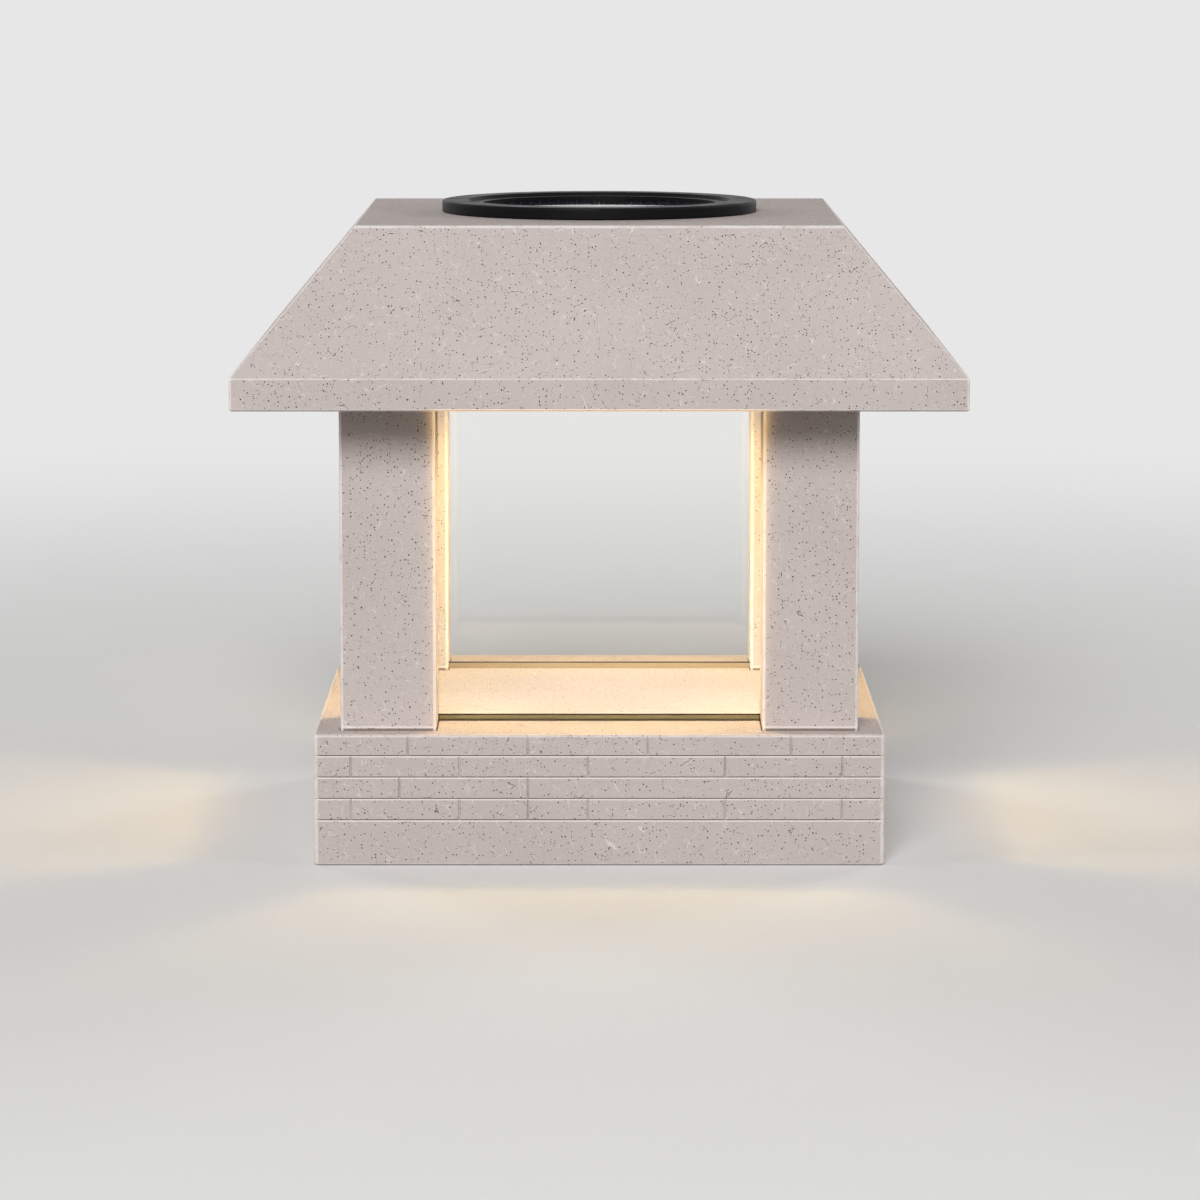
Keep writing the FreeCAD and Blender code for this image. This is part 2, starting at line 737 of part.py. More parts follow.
def battery_leads():
    """From the edge of each contact plate to the near end of the control board."""
    z = z_board_low + board_margin * 2
    y_start = contact_width / 2
    y_end = board_offset + board_thickness / 2
    leads = []
    for side, face in ((-1, spring_wall_face), (1, contact_wall_face)):
        x = face - side * contact_thickness / 2
        leads.append(wire_lead([(x, y_start, z), (x, y_end, z), (side * board_width / 2, y_end, z)]))
    return leads


def lamp_pins():
    """Two square pins that join the lamp board to the lower edge of the control board."""
    y = board_offset + board_thickness / 2
    half = lamp_pin_width / 2
    return [box(x - half, x + half, y - half, y + half, z_lamp_board_top, z_board_low)
            for x in (-lamp_pin_x, lamp_pin_x)]


def switch_leads():
    """From the top of the switch, up and over its edge, down to the lamp board."""
    z_high = (z_battery - battery_radius + z_lamp_board_top) / 2 + lead_radius
    leads = []
    for x in (-switch_length / 4, switch_length / 4):
        leads.append(wire_lead([(x, -switch_offset, z_switch_top), (x, -switch_offset, z_high),
                                (x, switch_lead_y, z_high), (x, switch_lead_y, z_lamp_board_top)]))
    return leads


# ---- Slide switch ----
def slider_window(z0, z1):
    """The slot that the slider's stem runs in."""
    half_length = (slider_stem_length + slider_travel) / 2 + slider_clearance
    half_width = slider_stem_width / 2 + slider_clearance
    return box(-half_length, half_length, -switch_offset - half_width, -switch_offset + half_width, z0, z1)


def switch_case():
    half_length, half_width = switch_length / 2, switch_width / 2
    case = rounded_bar(-half_length, half_length, -switch_offset - half_width, -switch_offset + half_width,
                       z_cover_top, z_switch_top, switch_edge_radius)
    run_half = (slider_base_length + slider_travel) / 2 + slider_clearance
    inner_half = half_width - switch_wall
    room_top = z_slider_base + slider_base_height + slider_clearance
    room = box(-run_half, run_half, -switch_offset - inner_half, -switch_offset + inner_half,
               z_cover_top + switch_wall, room_top)
    return case.cut([room, slider_window(z_cover_top, z_cover_top + switch_wall)])


def switch_slider():
    half_base, half_stem = slider_base_length / 2, slider_stem_length / 2
    half_base_width = switch_width / 2 - switch_wall - slider_clearance
    half_stem_width = slider_stem_width / 2
    x, y = -slider_travel / 2, -switch_offset
    base = box(x - half_base, x + half_base, y - half_base_width, y + half_base_width,
               z_slider_base, z_slider_base + slider_base_height)
    z_tip = z_module - slider_stand_out
    stem = rounded_bar(x - half_stem, x + half_stem, y - half_stem_width, y + half_stem_width,
                       z_tip, z_slider_base, slider_edge_radius)
    notches = []
    for offset in (-slider_notch_pitch, 0, slider_notch_pitch):
        left = x + offset - slider_notch / 2
        notches.append(box(left, left + slider_notch, y - slider_stem_width, y + slider_stem_width,
                           z_tip, z_tip + slider_notch))
    return base.fuse(stem).cut(notches)


# ---- Every piece, one file each ----
def save_housing():
    save("base_shell", base_shell())
    save("post_gasket", post_gasket())
    upright, pane = column(), front_slab(z_glass_low, z_glass_high)
    for name, angle in corners:
        save("column_" + name, turned(upright, angle))
    for name, angle in sides:
        save("glass_" + name, turned(pane, angle))
    foot, head = front_slab(z_deck, z_glass_low), front_slab(z_glass_high, z_slot)
    save("pane_foot_strips", *[turned(foot, angle) for name, angle in sides])
    save("pane_head_strips", *[turned(head, angle) for name, angle in sides])
    save("ceiling_plate", ceiling_plate())
    save("roof_shell", roof_shell())


def save_housing_screws():
    head = (screw_radius, screw_head_radius, screw_head_height)
    places = [
        ("column_screws_lower", column_axis, z_lower_seat, z_foot + screw_bite - z_lower_seat, True),
        ("column_screws_upper", column_axis, z_ceiling_top, z_ceiling_top - z_head + screw_bite, False),
        ("roof_screws", roof_boss_axis, z_roof_seat, screw_bite, True),
    ]
    for node, axis, z_seat, length, up in places:
        save(node, *four_corners(screw(-axis, -axis, z_seat, length, *head, up)))


def save_module():
    save("module_rim", module_rim())
    save("module_can", module_can())
    save("module_cover", module_cover())
    save("module_seal", module_seal())
    save("cover_seal", cover_seal())
    save("solar_glass", disc(panel_radius, z_cells_top, z_panel_top))
    save("solar_cells", *solar_cells())
    save("solar_backing", disc(panel_radius, z_can_deck, z_backing_top))
    cover_screw_length = z_can_end - z_cover_seat + screw_bite
    cover_screw = screw(-cover_boss_axis, -cover_boss_axis, z_cover_seat, cover_screw_length,
                        screw_radius, screw_head_radius, cover_head_height, True)
    save("cover_screws", *four_corners(cover_screw))
    save("battery_cradle", battery_cradle())
    save("battery", battery())
    save("battery_spring", battery_spring())
    save("contact_plates", *contact_plates())
    save("control_board", box(-board_width / 2, board_width / 2, board_offset, board_offset + board_thickness,
                              z_board_low, z_board_top))
    save("board_parts", *board_parts())
    save("lamp_lens", lamp_lens())
    save("lamp_reflector", lamp_reflector())
    save("lamp_board", lamp_board())
    save("leds", *leds())
    save("lamp_board_screws", *[
        screw(side * lamp_boss_axis, 0, z_lamp_board_top, small_screw_length, small_screw_radius,
              small_head_radius, small_head_height, False) for side in (-1, 1)])
    save("lamp_pins", *lamp_pins())
    save("solar_leads", *solar_leads())
    save("battery_leads", *battery_leads())
    save("switch_leads", *switch_leads())
    save("switch_case", switch_case())
    save("switch_slider", switch_slider())


os.makedirs("parts", exist_ok=True)
save_housing()
save_housing_screws()
save_module()
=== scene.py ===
import json
import math

import bpy
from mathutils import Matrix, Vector

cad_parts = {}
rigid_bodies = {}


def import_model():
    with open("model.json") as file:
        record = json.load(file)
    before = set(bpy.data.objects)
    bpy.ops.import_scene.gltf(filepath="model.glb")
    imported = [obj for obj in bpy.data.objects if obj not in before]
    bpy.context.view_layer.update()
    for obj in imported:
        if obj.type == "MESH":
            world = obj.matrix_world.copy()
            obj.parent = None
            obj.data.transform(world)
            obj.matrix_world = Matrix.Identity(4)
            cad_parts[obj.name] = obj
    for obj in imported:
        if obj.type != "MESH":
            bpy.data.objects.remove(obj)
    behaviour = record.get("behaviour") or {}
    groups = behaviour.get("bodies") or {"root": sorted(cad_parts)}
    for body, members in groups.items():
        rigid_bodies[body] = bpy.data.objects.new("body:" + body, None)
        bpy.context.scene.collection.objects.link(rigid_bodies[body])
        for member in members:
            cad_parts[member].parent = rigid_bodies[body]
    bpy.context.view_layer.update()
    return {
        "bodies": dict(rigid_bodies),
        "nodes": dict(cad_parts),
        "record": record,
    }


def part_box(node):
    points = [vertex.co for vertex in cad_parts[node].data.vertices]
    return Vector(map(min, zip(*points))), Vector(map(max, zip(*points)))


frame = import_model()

node_objects = frame["nodes"]

# ---- Places on the housing, in metres. All four sides are alike ----
COLUMN_LOW, COLUMN_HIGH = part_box("column_front_right")
DECK = COLUMN_LOW.z + 0.0008              # the columns stand 0.8 mm deep in the deck
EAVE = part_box("roof_shell")[0].z
ROOF_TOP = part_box("roof_shell")[1].z
ROOF_RISE, ROOF_RUN = 29.6, 24.6          # the roof slopes' height and level length
JOINTS_LOW, JOINTS_HIGH = 0.0015, 0.0268  # the skirt's heights with mortar joints
JOINTS_REACH = 0.0582                     # how far the joints run from a side's middle
JOINT_ROOT, JOINT_MOUTH = 0.05908, 0.0592

# ---- Colours of the moulded stone look ----
GROUND_DEEP, GROUND_LIGHT = (0.548, 0.476, 0.452), (0.587, 0.512, 0.487)
GRAIN = (0.61, 0.537, 0.514)
SPECK_BLACK, SPECK_BROWN = (0.022, 0.013, 0.010), (0.11, 0.07, 0.052)
HALO, THREAD = (0.78, 0.715, 0.675), (0.86, 0.80, 0.75)
STRING, DOT = (0.20, 0.14, 0.105), (0.08, 0.05, 0.038)
# Next line: painted shade for the joints and round the columns' feet, then a painted highlight for
# rounded edges.
PAINTED_SHADE, PAINTED_HIGHLIGHT = (0.16, 0.11, 0.085), (0.88, 0.825, 0.79)

# ---- Light ----
LENS_LEVEL = 1.2
# Colour of the painted lamp glow on the housing's thin edges.
PAINTED_GLOW_COLOR = (1.0, 0.60, 0.22)
BEAM_WATTS, BEAM_RADIUS, BEAM_COLOR = 0.100, 0.008, (1.0, 0.71, 0.28)
LENS_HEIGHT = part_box("lamp_lens")[0].z
BACKGROUND = 0.80
WORLD_LEVEL = 0.10
FLOOR_BOUNCE = 0.27                       # the floor's grey for light that it throws upwards
FADE_START, FADE_END = 0.18, 0.85         # where the floor turns into the background


# ---- Node material helpers ----
class Nodes:
    """Short calls for the nodes of a material, a light or the world."""

    def __init__(self, tree):
        self.tree = tree
        tree.nodes.clear()

    def node(self, kind, **props):
        made = self.tree.nodes.new(kind)
        for key, value in props.items():
            setattr(made, key, value)
        return made

    def link(self, source, target):
        self.tree.links.new(source, target)

    def feed(self, target, value):
        if isinstance(value, bpy.types.NodeSocket):
            self.link(value, target)
        else:
            target.default_value = value

    def math(self, operation, *values, clamp=False):
        made = self.node("ShaderNodeMath", operation=operation, use_clamp=clamp)
        for target, value in zip(made.inputs, values):
            self.feed(target, value)
        return made.outputs[0]

    def chain(self, operation, first, *others):
        for other in others:
            first = self.math(operation, first, other)
        return first

    def times(self, *values):
        return self.chain("MULTIPLY", *values)

    def most(self, *values):
        return self.chain("MAXIMUM", *values)

    def ramp(self, value, low, high, to_low=0.0, to_high=1.0, smooth=True):
        made = self.node("ShaderNodeMapRange")
        if smooth:
            made.interpolation_type = "SMOOTHSTEP"
        self.feed(made.inputs["Value"], value)
        limits = (("From Min", low), ("From Max", high), ("To Min", to_low), ("To Max", to_high))
        for key, number in limits:
            self.feed(made.inputs[key], number)
        return made.outputs["Result"]

    def parts(self, vector):
        made = self.node("ShaderNodeSeparateXYZ")
        self.link(vector, made.inputs[0])
        return made.outputs

    def mix_shaders(self, share, first, second, output):
        both = self.node("ShaderNodeMixShader")
        for target, source in zip(both.inputs, (share, first, second)):
            self.link(source, target)
        self.link(both.outputs[0], output.inputs["Surface"])

    def seen_rays(self):
        """1 for rays from the camera, and for those that come by reflection or through glass."""
        path = self.node("ShaderNodeLightPath").outputs
        return self.most(path["Is Camera Ray"], path["Is Glossy Ray"], path["Is Transmission Ray"])


class Paint(Nodes):
    """A node material with one Principled shader."""

    def __init__(self, name, color=(0.8, 0.8, 0.8), roughness=0.5, **sockets):
        self.mat = bpy.data.materials.new(name)
        self.mat.use_nodes = True
        super().__init__(self.mat.node_tree)
        self.output = self.node("ShaderNodeOutputMaterial")
        self.shader = self.node("ShaderNodeBsdfPrincipled")
        self.shader.inputs["Base Color"].default_value = (*color, 1)
        self.shader.inputs["Roughness"].default_value = roughness
        for socket, value in sockets.items():
            self.shader.inputs[socket.replace("_", " ")].default_value = value
        self.link(self.shader.outputs[0], self.output.inputs["Surface"])
        self.coords = self.node("ShaderNodeTexCoord").outputs["Object"]

    def vector(self, operation, *values):
        made = self.node("ShaderNodeVectorMath", operation=operation)
        for target, value in zip(made.inputs, values):
            self.feed(target, value)
        return made.outputs["Vector"]

    def noise(self, scale, detail=2.0, vector=None, color=False):
        made = self.node("ShaderNodeTexNoise")
        self.link(vector or self.coords, made.inputs["Vector"])
        made.inputs["Scale"].default_value = scale
        made.inputs["Detail"].default_value = detail
        return made.outputs["Color" if color else "Fac"]

    def cells(self, scale, feature="F1", vector=None, **props):
        made = self.node("ShaderNodeTexVoronoi", feature=feature, **props)
        self.link(vector or self.coords, made.inputs["Vector"])
        made.inputs["Scale"].default_value = scale
        return made.outputs

    def mix(self, share, first, second):
        made = self.node("ShaderNodeMix", data_type="RGBA")
        sockets = [s for s in made.inputs if s.type == "RGBA"]
        self.feed(made.inputs["Factor"], share)
        for target, value in zip(sockets, (first, second)):
            self.feed(target, (*value, 1) if isinstance(value, tuple) else value)
        return [s for s in made.outputs if s.type == "RGBA"][0]

    def axes(self):
        return self.parts(self.coords)

    def facing(self):
        """The flat face's own direction, without bump."""
        return self.parts(self.node("ShaderNodeNewGeometry").outputs["True Normal"])

    def sides(self):
        """The smaller and the larger of |x| and |y|, and the height z."""
        x, y, z = self.axes()
        x, y = self.math("ABSOLUTE", x), self.math("ABSOLUTE", y)
        return self.math("MINIMUM", x, y), self.math("MAXIMUM", x, y), z

    def color(self, value):
        self.link(value, self.shader.inputs["Base Color"])

    def rough(self, value):
        self.link(value, self.shader.inputs["Roughness"])

    def bump(self, height, strength, distance):
        made = self.node("ShaderNodeBump")
        made.inputs["Strength"].default_value = strength
        made.inputs["Distance"].default_value = distance
        self.link(height, made.inputs["Height"])
        self.link(made.outputs["Normal"], self.shader.inputs["Normal"])


# ---- The housing's moulded stone look ----
def stone():
    """Pale warm grey with fine dark specks in pale halos and faint short threads. Rounded edges get
    a painted highlight, the joints and the columns' feet get painted shade, and thin edges near the
    lamp get a painted lamp glow."""
    p = Paint("stone_look", roughness=0.6, Specular_IOR_Level=0.08)
    wander = p.vector("SCALE", p.noise(210, 2, color=True))
    wander.node.inputs["Scale"].default_value = 0.0022
    bent = p.vector("ADD", p.coords, wander)

    grain = p.noise(2400, 2)
    ground = p.mix(p.ramp(p.noise(38, 3), 0.3, 0.7), GROUND_DEEP, GROUND_LIGHT)
    ground = p.mix(p.ramp(grain, 0.35, 0.65, 0.0, 0.5), ground, GRAIN)

    specks = p.cells(1420)
    tint = p.parts(specks["Color"])
    size = p.ramp(tint[0], 0.05, 1.0, 0.07, 0.275, smooth=False)
    inside = p.math("SUBTRACT", size, specks["Distance"])
    speck = p.ramp(inside, -0.012, 0.03)
    halo = p.ramp(inside, -0.13, -0.04)

    strings = p.cells(270, "DISTANCE_TO_EDGE", bent)["Distance"]
    stretch = p.ramp(p.noise(470, 1), 0.51, 0.57)
    line = p.times(p.ramp(strings, 0.020, 0.008), stretch)
    rim = p.times(p.ramp(strings, 0.042, 0.022), stretch)
    dots = p.times(line, p.ramp(p.noise(2600, 0), 0.52, 0.6))

    apart = p.vector("ADD", bent, (0.31, 0.17, 0.23))
    thread = p.ramp(p.cells(320, "DISTANCE_TO_EDGE", apart)["Distance"], 0.024, 0.008)
    thread = p.times(thread, p.ramp(p.noise(520, 1), 0.555, 0.615))

    color = p.mix(p.most(p.times(halo, 0.5), p.times(rim, 0.35)), ground, HALO)
    color = p.mix(p.times(thread, 0.55), color, THREAD)
    color = p.mix(p.times(line, 0.36), color, STRING)
    color = p.mix(p.times(dots, 0.7), color, DOT)
    color = p.mix(p.times(speck, 0.95), color, p.mix(tint[1], SPECK_BLACK, SPECK_BROWN))

    # Painted highlight on rounded edges, and painted shade in the joints.
    edge_highlight, under, level_joint = rounded_edges(p)
    edge_highlight = p.most(edge_highlight, roof_ridge(p))
    foot_shadow, foot_highlight = column_feet(p)
    # Painted shade in the joints and painted shadow round the columns' feet.
    color = p.mix(p.most(p.times(under, 0.85), p.times(foot_shadow, 0.75)), color, PAINTED_SHADE)
    # Painted highlight: patchy on rounded edges, strong on the level joints' edges and over the
    # columns' feet.
    patchy = p.most(p.ramp(p.noise(260, 3), 0.25, 0.6, 0.3, 0.7), p.times(level_joint, 0.9))
    color = p.mix(p.most(p.times(edge_highlight, patchy), p.times(foot_highlight, 0.6)), color, PAINTED_HIGHLIGHT)
    p.color(color)

    # Painted lamp glow: emission on the columns' edges by the panes and on the roof's lower edge.
    p.shader.inputs["Emission Color"].default_value = (*PAINTED_GLOW_COLOR, 1)
    p.link(painted_lamp_glow(p, edge_highlight), p.shader.inputs["Emission Strength"])
    p.mat.cycles.emission_sampling = "NONE"
    p.rough(p.ramp(p.noise(420, 3), 0.3, 0.7, 0.58, 0.72))
    height = p.chain("ADD", p.times(grain, 0.35), p.times(speck, -0.9), p.times(dots, -0.5),
                     p.times(thread, 0.3), p.times(p.noise(700, 2), 0.5))
    p.bump(height, 0.5, 0.00008)
    return p.mat


def rounded_edges(p):
    """Masks of the faces that turn away from every flat direction of the housing: where the painted
    highlight goes, where painted shade goes in the mortar joints, and where the joints that run
    level are."""
    facing = p.facing()
    nx, ny, nz = (p.math("ABSOLUTE", axis) for axis in facing)
    tilt = math.atan2(ROOF_RISE, ROOF_RUN)
    across, up = math.sin(tilt), math.cos(tilt)
    slopes = [p.chain("ADD", p.times(level, across), p.times(nz, up)) for level in (nx, ny)]
    turned = p.ramp(p.most(p.most(nx, ny, nz), p.most(*slopes)), 0.998, 0.975)

    near, far, z = p.sides()
    joints = p.times(p.math("LESS_THAN", z, JOINTS_HIGH), p.math("GREATER_THAN", z, JOINTS_LOW),
                     p.math("LESS_THAN", near, JOINTS_REACH))
    upright = p.math("LESS_THAN", nz, 0.1)
    # Painted shade: the upright joints' flanks and the joints' faces that look down.
    flanks = p.times(upright, p.ramp(far, JOINT_ROOT, JOINT_MOUTH, 0.25, 0.75))
    looks_down = p.ramp(facing[2], -0.1, -0.3)
    dark = p.times(joints, p.most(flanks, looks_down))
    level_joint = p.times(joints, p.math("SUBTRACT", 1.0, upright))
    return p.times(turned, p.math("SUBTRACT", 1.0, dark)), p.times(turned, dark), level_joint


def roof_ridge(p):
    """A painted highlight on the slopes' last half millimetre under the flat top."""
    under_top = p.ramp(p.axes()[2], ROOF_TOP - 0.0007, ROOF_TOP - 0.0004)
    return p.times(under_top, p.math("LESS_THAN", p.facing()[2], 0.95))


def column_feet(p):
    """The painted shadow round the foot of each column, and the painted highlight over it."""
    near, far, z = p.sides()
    inside = p.times(p.math("GREATER_THAN", near, COLUMN_LOW.x - 0.0003),
                     p.math("LESS_THAN", far, COLUMN_HIGH.x + 0.0003))
    foot_shadow = p.times(inside, p.ramp(z, DECK + 0.00058, DECK + 0.00042))
    foot_highlight = p.times(inside, p.ramp(z, DECK + 0.00110, DECK + 0.00085),
                  p.ramp(z, DECK + 0.00045, DECK + 0.00060))
    return foot_shadow, foot_highlight


def painted_lamp_glow(p, edge_highlight):
    """Painted lamp glow, as emission on the moulding's thin edges: along the columns' edges beside
    the panes, strongest near the lamp, and on the roof's lower edge between the columns."""
    near, far, z = p.sides()
    inset = p.math("SUBTRACT", near, COLUMN_LOW.x)
    fading = p.math("EXPONENT", p.times(p.most(inset, 0.0), -1100.0))
    edge = p.times(fading, p.ramp(inset, -0.0002, 0.0, smooth=False),
                   p.ramp(far, COLUMN_HIGH.x - 0.0009, COLUMN_HIGH.x - 0.0004),
                   p.math("LESS_THAN", far, COLUMN_HIGH.x + 0.0005))
    strength = p.times(p.ramp(z, COLUMN_LOW.z, COLUMN_HIGH.z, 0.16, 0.8, smooth=False),
                       p.math("GREATER_THAN", z, COLUMN_LOW.z + 0.001),
                       p.math("LESS_THAN", z, COLUMN_HIGH.z))
    line = p.times(edge_highlight, p.ramp(z, EAVE + 0.0006, EAVE + 0.0003),
                   p.ramp(near, COLUMN_LOW.x + 0.004, COLUMN_LOW.x - 0.002),
                   p.math("GREATER_THAN", z, COLUMN_HIGH.z - 0.003), 0.7)
    return p.math("ADD", p.times(edge, strength), line)


# ---- The other materials ----
def ceiling():
    p = Paint("ceiling")
    p.color(p.mix(p.noise(900, 3), (0.56, 0.50, 0.47), (0.66, 0.60, 0.565)))
    p.rough(p.ramp(p.noise(300, 2), 0.3, 0.7, 0.42, 0.58))
    p.bump(p.noise(1600, 3), 0.25, 0.00008)
    return p.mat


def clear(name, color, roughness, tint, ior=1.5):
    """Clear glass or silicone that lets the lamps' light through, tinted."""
    p = Paint(name, color=color, Transmission_Weight=1.0, IOR=ior)
    p.rough(p.ramp(p.noise(60, 4), 0.35, 0.75, roughness, roughness + 0.02))
    through = p.node("ShaderNodeBsdfTransparent")
    through.inputs["Color"].default_value = (*tint, 1)
    shadow = p.node("ShaderNodeLightPath").outputs["Is Shadow Ray"]
    p.mix_shaders(shadow, p.shader.outputs[0], through.outputs[0], p.output)
    return p


def pane_glass():
    """Clear float glass. Its tint keeps a part of the studio's light out of the lamp's chamber."""
    return clear("pane_glass", (0.99, 0.992, 0.982), 0.0, (0.86, 0.82, 0.705)).mat


def clear_strip():
    """Clear silicone, olive, with painted lamp light: paler amber and less clear on the faces that
    look towards the lamp.
    """
    olive, amber = (0.24, 0.23, 0.13), (0.50, 0.39, 0.23)
    p = clear("clear_strip", olive, 0.05, (0.4, 0.38, 0.26))
    x, y, z = p.axes()
    facing = p.facing()
    outward = p.math("ADD", p.times(x, facing[0]), p.times(y, facing[1]))
    inward = p.math("LESS_THAN", outward, -0.001)
    # Painted lamp light: the faces that look inward are paler amber and less clear.
    p.color(p.mix(inward, olive, amber))
    clearness = p.ramp(inward, 0, 1, 1.0, 0.35, smooth=False)
    p.link(clearness, p.shader.inputs["Transmission Weight"])
    p.bump(p.noise(500, 3), 0.2, 0.0001)
    return p.mat


def foam():
    p = Paint("foam", roughness=0.92)
    pores = p.cells(1300)["Distance"]
    p.color(p.mix(p.ramp(pores, 0.1, 0.6), (0.012, 0.012, 0.012), (0.05, 0.05, 0.05)))
    p.bump(p.ramp(pores, 0.0, 0.6), 0.7, 0.0003)
    return p.mat


def steel(name, color, roughness):
    p = Paint(name, Metallic=1.0)
    brushed = p.noise(1.0, 3, vector=p.vector("MULTIPLY", p.coords, (9000, 500, 500)))
    p.color(p.mix(brushed, tuple(0.82 * c for c in color), color))
    p.rough(p.ramp(brushed, 0.3, 0.7, roughness - 0.06, roughness + 0.1))
    p.bump(brushed, 0.12, 0.00003)
    return p.mat


def black_plastic():
    """Satin black with the fine grain of a spark-eroded mould."""
    p = Paint("black_plastic", Specular_IOR_Level=0.09)
    p.color(p.mix(p.noise(90, 3), (0.0028, 0.003, 0.0036), (0.006, 0.0063, 0.0072)))
    p.rough(p.ramp(p.noise(140, 4), 0.3, 0.7, 0.36, 0.48))
    p.bump(p.noise(3800, 2), 0.12, 0.00004)
    return p.mat


def rubber():
    p = Paint("seal_rubber", roughness=0.8)
    p.color(p.mix(p.noise(700, 3), (0.014, 0.014, 0.014), (0.03, 0.03, 0.03)))
    p.bump(p.noise(1800, 2), 0.3, 0.00006)
    return p.mat


def panel_glass():
    """Toughened glass with a coating that keeps its reflections low."""
    return clear("panel_glass", (0.90, 0.94, 0.99), 0.03, (0.85, 0.9, 0.95), ior=1.33).mat


def silicon():
    """Dark cells with fine silver fingers from front to back and two busbars across them."""
    finger_step, finger_half = 0.0010, 0.00006
    busbar_place, busbar_half = 0.0115, 0.0005
    p = Paint("silicon", Specular_IOR_Level=0.2)
    x, y, z = p.axes()
    tone = p.parts(p.cells(260)["Color"])[0]
    ground = p.mix(tone, (0.005, 0.008, 0.019), (0.010, 0.016, 0.036))
    finger = p.math("PINGPONG", p.math("ADD", x, finger_step), finger_step)
    finger = p.ramp(finger, finger_half + 0.00002, finger_half - 0.00002)
    busbar = p.math("ABSOLUTE", p.math("SUBTRACT", p.math("ABSOLUTE", y), busbar_place))
    busbar = p.ramp(busbar, busbar_half + 0.00005, busbar_half - 0.00002)
    silver = p.most(finger, busbar)
    shine = p.math("ADD", p.times(busbar, 0.6), p.times(finger, 0.4), clamp=True)
    p.color(p.mix(shine, ground, (0.52, 0.53, 0.55)))
    p.rough(p.ramp(silver, 0, 1, 0.2, 0.38, smooth=False))
    p.bump(silver, 0.12, 0.00002)
    return p.mat


def circuit():
    """Green board with raised copper tracks under the mask and tinned pads."""
    p = Paint("circuit_green", roughness=0.32)
    tracks = p.cells(420, "DISTANCE_TO_EDGE", distance="MANHATTAN")["Distance"]
    track, pad = p.ramp(tracks, 0.14, 0.1), p.ramp(p.cells(420)["Distance"], 0.17, 0.13)
    green = p.mix(track, (0.012, 0.10, 0.040), (0.03, 0.20, 0.075))
    p.color(p.mix(pad, green, (0.62, 0.60, 0.55)))
    p.bump(p.math("ADD", track, pad), 0.3, 0.00004)
    return p.mat


def board_white():
    p = Paint("board_white", roughness=0.4)
    track = p.ramp(p.cells(300, "DISTANCE_TO_EDGE")["Distance"], 0.12, 0.08)
    p.color(p.mix(track, (0.83, 0.83, 0.80), (0.76, 0.76, 0.73)))
    p.bump(track, 0.25, 0.00004)
    return p.mat


def cell_wrap():
    """Blue shrink sleeve, drawn in over the cell's bare ends."""
    p = Paint("cell_wrap")
    x = p.axes()[0]
    low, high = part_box("battery")
    bare = p.most(p.ramp(x, low.x + 0.0003, low.x + 0.0006, 1, 0),
                  p.ramp(x, high.x - 0.0016, high.x - 0.0013, 0, 1))
    blue = p.mix(p.noise(80, 3), (0.012, 0.085, 0.30), (0.02, 0.12, 0.38))
    p.color(p.mix(bare, blue, (0.66, 0.66, 0.64)))
    p.link(bare, p.shader.inputs["Metallic"])
    ripple = p.noise(1.0, 2, vector=p.vector("MULTIPLY", p.coords, (900, 120, 120)))
    p.rough(p.ramp(ripple, 0.3, 0.7, 0.24, 0.38))
    p.bump(ripple, 0.2, 0.0001)
    return p.mat


def component_black():
    p = Paint("component_black", roughness=0.45)
    p.color(p.mix(p.noise(1200, 2), (0.014, 0.014, 0.016), (0.035, 0.035, 0.038)))
    p.bump(p.noise(3000, 2), 0.2, 0.00003)
    return p.mat


def lens_frosted():
    """Frosted lens lit by four LEDs, with moulded rings. It is brightest under each LED."""
    led_place, glow_reach, ring_step = 0.0035, 0.010, 0.0006
    p = Paint("lens_frosted", color=(0.93, 0.88, 0.8), roughness=0.45)

    def length(*legs):
        return p.math("SQRT", p.math("ADD", *(p.math("POWER", leg, 2.0) for leg in legs)))

    x, y, z = p.axes()
    from_led = length(*(p.math("SUBTRACT", p.math("ABSOLUTE", leg), led_place) for leg in (x, y)))
    hot = p.ramp(from_led, glow_reach, 0.0, 0.55, 1.0)
    p.link(p.mix(hot, (1.0, 0.60, 0.29), (1.0, 0.66, 0.35)), p.shader.inputs["Emission Color"])
    p.link(p.times(hot, LENS_LEVEL), p.shader.inputs["Emission Strength"])
    p.bump(p.ramp(p.math("PINGPONG", length(x, y), ring_step), 0, ring_step), 0.5, 0.0003)
    return p.mat


def led_warm():
    p = Paint("led_warm", roughness=0.35)
    p.color(p.mix(p.noise(900, 2), (0.90, 0.62, 0.16), (0.98, 0.74, 0.28)))
    p.shader.inputs["Emission Color"].default_value = (1.0, 0.72, 0.42, 1)
    p.shader.inputs["Emission Strength"].default_value = LENS_LEVEL
    return p.mat


def leads():
    """Insulated leads: red where x is above zero, else black."""
    p = Paint("leads", roughness=0.42)
    red = p.mix(p.noise(500, 2), (0.32, 0.012, 0.012), (0.42, 0.022, 0.02))
    p.color(p.mix(p.math("GREATER_THAN", p.axes()[0], 0.0), (0.015, 0.015, 0.016), red))
    p.bump(p.noise(900, 2), 0.15, 0.00005)
    return p.mat


def white_reflector():
    p = Paint("reflector_white", roughness=0.3)
    p.color(p.mix(p.noise(300, 2), (0.84, 0.84, 0.82), (0.9, 0.9, 0.88)))
    p.bump(p.noise(2000, 2), 0.1, 0.00004)
    return p.mat


